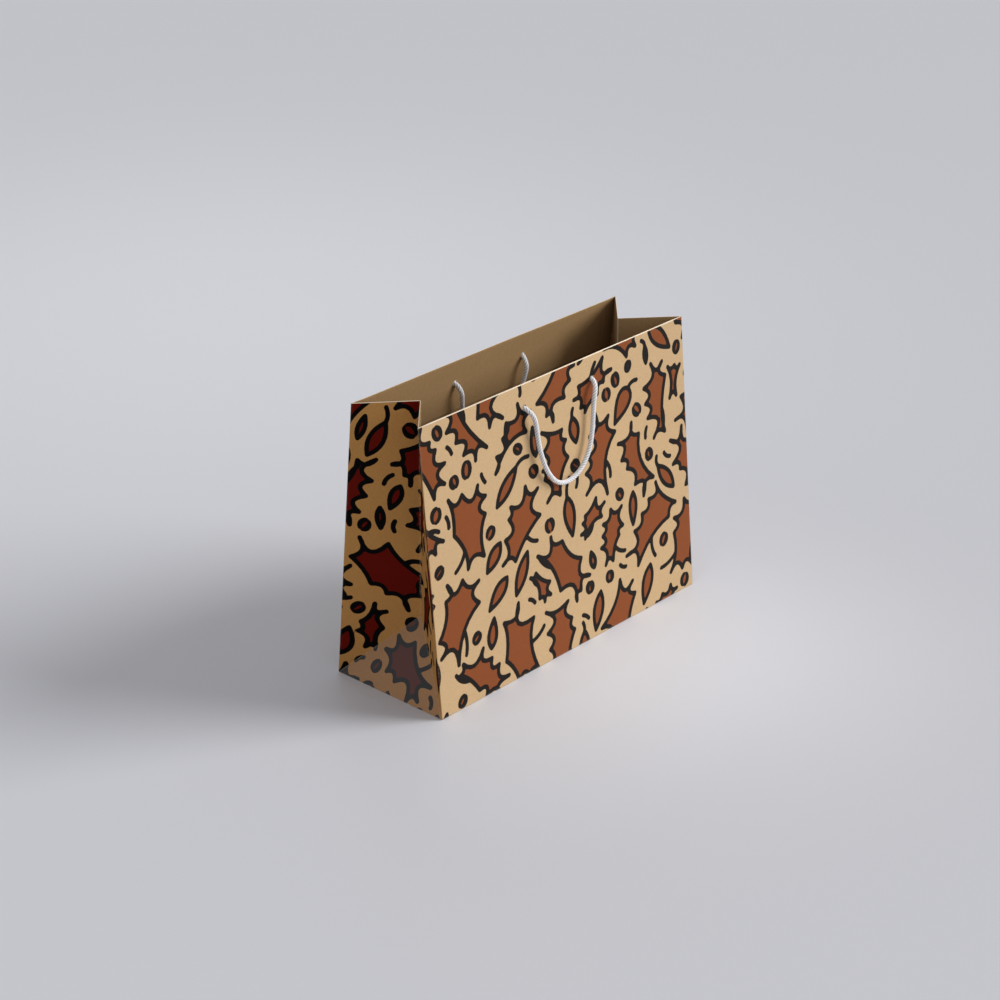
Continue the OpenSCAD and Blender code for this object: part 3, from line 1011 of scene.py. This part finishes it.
def rope_tube(name, route, diameter=ROPE_D, flare=0.0, around=36):
    """Twisted rope along a route: strands that wind round it, rounded off at both ends."""
    line, gone = smooth_line(route)
    way = unit(np.gradient(line, axis=0))
    side = np.zeros_like(line)
    side[0] = unit(np.cross(way[0], (0.3, 0.2, 0.9)))
    for i in range(1, len(line)):
        side[i] = unit(side[i - 1] - way[i] * (side[i - 1] @ way[i]))
    other = np.cross(way, side)
    angle = np.arange(around) / around * 2 * math.pi
    phase = STRANDS * angle[None, :] - 2 * math.pi * STRANDS * gone[:, None] / TWIST_LENGTH
    crest = abs(np.cos(phase / 2)) ** 0.6
    fray = column(1 + flare * np.clip(1 - (gone[-1] - gone) / FRAY_LENGTH, 0, 1) ** 2)
    near_end = column(np.clip(np.minimum(gone, gone[-1] - gone) / END_ROUND, 0, 1))
    radius = diameter / 2 * (GROOVE + (1 - GROOVE) * crest) * fray * np.sqrt(0.12 + 0.88 * near_end)
    rings = line[:, None] + radius[..., None] * (
        column(np.cos(angle)) * side[:, None] + column(np.sin(angle)) * other[:, None]
    )
    index = np.arange(len(line) * around).reshape(-1, around)
    after = np.roll(index, -1, 1)
    walls = np.stack([index[:-1], after[:-1], after[1:], index[1:]], -1).reshape(-1, 4)
    caps = [index[0][::-1].tolist(), index[-1].tolist()]
    piece = make_piece(
        # The values at the points say how near each is to a strand's crest; the rope's material darkens the
        # grooves from them as painted shade
        name, rings.reshape(-1, 3), walls.tolist() + caps, [ROPE], values={"strand_painted_shade": crest.ravel()},
        sharp=math.radians(80),
    )
    return piece, line


def both_legs(half):
    """A loop's whole route from its right half."""
    return half + [(-x, out, down) for x, out, down in half[-2::-1]]


# An overhand knot, in its own frame: the rope comes in along -Z, the tail leaves along +X
KNOT = [
    (0, 0, -6), (0, 0.2, -3.2), (0.6, 1.6, -0.9), (1.9, 2.6, 1.2), (1.2, 1.0, 3.4), (-1.3, -1.5, 3.1),
    (-2.9, -1.9, 0.9), (-1.5, 0.6, -1.4), (1.6, 1.8, -2.0), (3.2, -0.6, -0.8), (1.7, -2.8, 0.9),
    (-0.8, -2.2, 2.0), (-1.2, 0.4, 1.6), (0.6, 1.1, 0.4), (3.0, 0.6, 0.8), (6.5, 0.2, 0.6), (11.0, 0, 0.3),
]
# Pulled tight, the rope is thinner in the knot. The knot's middle is this far from the paper.
KNOT_ROPE_D = ROPE_D * 0.86
KNOT_OFF = 4.4


def knot_piece(name, centre, way_in, tail, body, node):
    """Knot at a rope's end: way_in points along the rope into it, tail along its free end."""
    z = unit(np.array(way_in, float))
    x = unit(np.array(tail, float) - z * np.dot(tail, z))
    y = np.cross(z, x)
    points = [centre + p[0] * x + p[1] * y + p[2] * z for p in KNOT]
    piece, _ = rope_tube(name, points, KNOT_ROPE_D, flare=0.35, around=32)
    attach(piece, body)
    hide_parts(node)
    return piece


def tie_knots(end, point, behind):
    """Both knots of a rope, on the other side of its wall. point(x, out, down) is a place off the
    wall's face on the rope's side, and the knots' middles lie this far behind that face.
    """
    knots = []
    for side, x in (("right", HOLE_X), ("left", -HOLE_X)):
        way_in = point(x, -1, 0) - point(x, 0, 0)
        tail = point(x, 0, 1) - point(x, 0, 0)
        knots.append(knot_piece(
            f"{end}_{side}_overhand_knot", point(x, -behind, 0), way_in, tail,
            f"{end}_wall", f"{end}_{side}_knot",
        ))
    return knots


def add_front_handle():
    """Rope that hangs in front of the front wall, knotted inside it."""
    def place(x, out, down):
        return wall_point(np.array(x), np.array(-out), np.array(HOLE_Z - down))

    ends = [(HOLE_X, -5.4, 0), (HOLE_X, -2.6, 0)]
    left_ends = [(-x, out, down) for x, out, down in ends[::-1]]
    route = [place(*p) for p in ends + both_legs(FRONT_ROUTE) + left_ends]
    rope, line = rope_tube("front_handle_cord", route)
    knots = tie_knots("front", place, MOUTH_T + KNOT_OFF)
    start, end = [place(0, FRONT_AXIS_OUT, down) * MM for down in (BEND_FROM, BEND_TO)]
    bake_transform(rope)
    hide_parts("front_handle_rope")


def add_back_handle():
    """Rope that hangs inside the back wall, knotted behind it."""
    def place(x, inward, down):
        return wall_point(np.array(-x), np.array(inward), np.array(HOLE_Z - down), back=True)

    axis = place(0.0, BACK_AXIS_IN, 0)

    def hang(x, inward, down):
        return np.array([x, axis[1] - inward, axis[2] - down])

    ends = [place(HOLE_X, -4.6, 0), place(HOLE_X, -2.0, 0), place(41.1, 0.8, 0.45), place(40.5, 3.3, 1.75)]
    left_ends = [p * [-1, 1, 1] for p in ends[::-1]]
    route = ends + [hang(*p) for p in both_legs(BACK_ROUTE)] + left_ends
    rope, line = rope_tube("back_handle_cord", route)
    knots = tie_knots("back", place, KNOT_OFF)
    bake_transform(rope)
    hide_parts("back_handle_rope")


# ---- studio -----------------------------------------------------------------------------------


# The floor lies a hair below the base, and is far wider than any view, in metres
FLOOR_SIZE = 16
FLOOR_DROP = 0.0003


def add_floor():
    bpy.ops.mesh.primitive_plane_add(size=FLOOR_SIZE, location=(0, 0, -FLOOR_DROP))
    floor = bpy.context.object
    floor.name = "studio_floor"
    floor.data.materials.append(floor_paint())


# Where the key light comes from, how wide it is, and how strong it and the light all round are
KEY_FROM = (0.66, -0.61, 0.44)
KEY_WIDTH = math.radians(32)
KEY_STRENGTH = 2.35
WORLD_STRENGTH = 0.39
WORLD_COLOUR = (0.97, 0.97, 1.0, 1.0)

# Softboxes that shine straight down on the floor, in front of the bag and behind it, and hardly
# reach its upright panels: place and size in metres and power in watts of each, and their spread
FLOOR_SOFTBOXES = [((0.05, -0.11, 0.5), 0.22, 0.065), ((0.35, 0.75, 1.3), 0.9, 0.4)]
SOFTBOX_SPREAD = math.radians(60)


def add_lights():
    sun = bpy.data.lights.new("key", "SUN")
    sun.energy = KEY_STRENGTH
    sun.angle = KEY_WIDTH
    key = bpy.data.objects.new("key", sun)
    bpy.context.scene.collection.objects.link(key)
    key.rotation_euler = Vector(KEY_FROM).to_track_quat("Z", "Y").to_euler()
    for place, size, power in FLOOR_SOFTBOXES:
        box = bpy.data.lights.new("floor_softbox", "AREA")
        box.energy = power
        box.size = size
        box.spread = SOFTBOX_SPREAD
        softbox = bpy.data.objects.new("floor_softbox", box)
        bpy.context.scene.collection.objects.link(softbox)
        softbox.location = place
        softbox.visible_camera = False
        softbox.visible_glossy = False
    world = bpy.data.worlds.new("studio")
    world.use_nodes = True
    background = world.node_tree.nodes["Background"]
    background.inputs["Color"].default_value = WORLD_COLOUR
    background.inputs["Strength"].default_value = WORLD_STRENGTH
    bpy.context.scene.world = world


# ---- assembly ---------------------------------------------------------------------------------

bpy.context.scene.view_settings.view_transform = "Standard"
add_camera()
add_front_handle()
add_back_handle()
motifs = scatter_motifs()
wall_sheet("front_wall_sheet", motifs, "front_wall", False, ["front_panel", "front_top_hem"])
wall_sheet("back_wall_sheet", motifs, "back_wall", True, ["back_panel", "back_top_hem"])
add_gussets(motifs)
base_fold_sheet(motifs, "left", 1, ROUND)
base_fold_sheet(motifs, "right", -1, BAG_W)
for back, side in enumerate(("front", "back")):
    mouth_card(f"{side}_mouth_card", f"{side}_wall", bool(back), f"{side}_top_card")
    bottom_flap_sheet(f"{side}_bottom_flap", motifs, bool(back), f"bottom_flap_{side}")
dress_cad_nodes()
add_floor()
add_lights()
